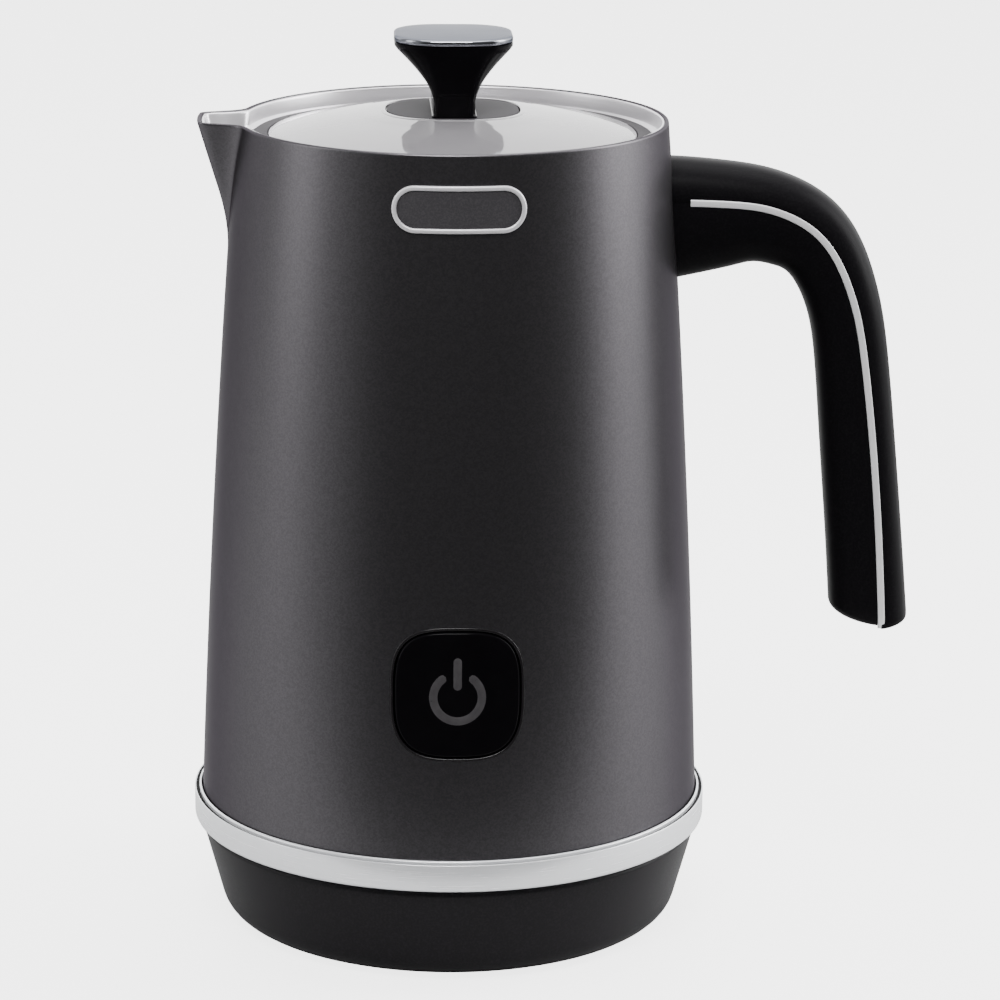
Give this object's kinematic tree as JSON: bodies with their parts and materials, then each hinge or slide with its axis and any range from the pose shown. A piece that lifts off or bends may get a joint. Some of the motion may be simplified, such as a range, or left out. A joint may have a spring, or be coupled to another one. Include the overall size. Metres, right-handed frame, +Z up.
{
  "type": "milk frother",
  "caption": "Heated jug with a spout, a lid with a flared knob, an open handle and a magnetic whisk, standing on a round power base that it lifts off and turns on.",
  "frame": {"origin": "on the vertical axis of the jug and base, at the level of the surface the base stands on", "axes": "+Z up; +X towards the handle, so the spout points to -X; the power button and badge face -Y; the lead enters the base at +Y"},
  "size_m": [0.1736, 0.125, 0.2169],
  "materials": {
    "graphite_paint": "fine metallic satin paint",
    "badge_field": "blank dark field",
    "satin_steel_trim": "satin raised border",
    "bright_band": "bright, faintly brushed round the band",
    "bright_trim": "bright strip",
    "knob_chrome": "polished",
    "pot_steel": "satin deep-drawn steel",
    "satin_black": "satin moulded",
    "handle_black": "satin moulded",
    "matt_black": "fine spark texture",
    "connector_grey": "moulded",
    "rubber_black": "soft",
    "seal_rubber": "silicone",
    "gloss_black": "polished moulded",
    "bezel_black": "moulded",
    "icon_grey": "moulded light window",
    "lid_translucent": "translucent moulded",
    "disc_grey": "polished moulded",
    "hub_plastic": "moulded",
    "whisk_steel": "drawn wire",
    "zinc_steel": "zinc plated",
    "iron_dark": "ground",
    "magnet_nickel": "nickel plated",
    "heater_aluminium": "pressed",
    "element_sheath": "heat tinted",
    "contact_brass": "plain",
    "board_green": "solder resist",
    "component_black": "moulded",
    "led_white": "clear lens"
  },
  "bodies": {
    "base": {"base_shell": "satin_black", "base_bottom_plate": "matt_black", "rubber_foot_ring": "rubber_black", "base_screws": "zinc_steel", "cord_gland": "rubber_black", "base_connector_cup": "matt_black", "base_terminals": "contact_brass", "cord_clamp": "matt_black"},
    "connector": {"connector_tower": "connector_grey", "connector_pin": "contact_brass"},
    "jug": {"jug_shell": "graphite_paint", "inner_pot": "pot_steel", "pot_spindle": "pot_steel", "foot_band": "bright_band", "jug_bottom_cover": "matt_black", "jug_socket": "matt_black", "cover_screws": "zinc_steel", "motor_chassis": "matt_black", "motor_can": "zinc_steel", "field_magnets": "iron_dark", "motor_screws": "zinc_steel", "heater_plate": "heater_aluminium", "heating_element": "element_sheath", "temperature_sensor": "contact_brass", "thermal_cutout": "contact_brass", "control_board": "board_green", "tact_switch": "component_black", "relay": "component_black", "capacitor": "component_black", "indicator_leds": "led_white", "button_bezel": "bezel_black", "badge_frame": "satin_steel_trim", "badge_plate": "badge_field", "handle_outer_shell": "handle_black", "handle_inner_shell": "handle_black", "handle_strips": "bright_trim", "handle_screws": "zinc_steel", "handle_bracket": "zinc_steel"},
    "button": {"power_button": "gloss_black", "power_icon": "icon_grey"},
    "rotor": {"motor_shaft": "zinc_steel", "motor_armature": "iron_dark", "magnet_holder": "hub_plastic", "drive_magnets": "magnet_nickel"},
    "hub": {"whisk_hub": "hub_plastic", "whisk_magnets": "magnet_nickel"},
    "whisk": {"whisk_frame": "whisk_steel", "whisk_coil": "whisk_steel"},
    "lid": {"lid_dome": "lid_translucent", "lid_disc": "disc_grey", "lid_seal": "seal_rubber", "knob_post": "gloss_black", "knob_cap": "knob_chrome", "knob_screws": "zinc_steel"}
  },
  "joints": [
    {"name": "jug_turn", "type": "hinge", "parent": "base", "child": "connector", "pos_m": [0, 0, 0.03], "axis": [0, 0, 1], "continuous": true},
    {"name": "jug_lift", "type": "slide", "parent": "connector", "child": "jug", "axis": [0, 0, 1], "range_m": [0, 0.08]},
    {"name": "lid_lift", "type": "slide", "parent": "jug", "child": "lid", "axis": [0, 0, 1], "range_m": [0, 0.06]},
    {"name": "button_press", "type": "slide", "parent": "jug", "child": "button", "axis": [0, 1, 0], "range_m": [0, 0.0008], "stiffness_N_per_m": 1500, "springref_m": -0.001},
    {"name": "rotor_spin", "type": "hinge", "parent": "jug", "child": "rotor", "pos_m": [0, 0, 0.07], "axis": [0, 0, 1], "continuous": true},
    {"name": "whisk_spin", "type": "hinge", "parent": "jug", "child": "hub", "pos_m": [0, 0, 0.103], "axis": [0, 0, 1], "continuous": true},
    {"name": "whisk_lift", "type": "slide", "parent": "hub", "child": "whisk", "axis": [0, 0, 1], "range_m": [0, 0.06]}
  ],
  "couplings": [
    {"joint": "whisk_spin", "follows": "rotor_spin", "ratio": 1}
  ]
}
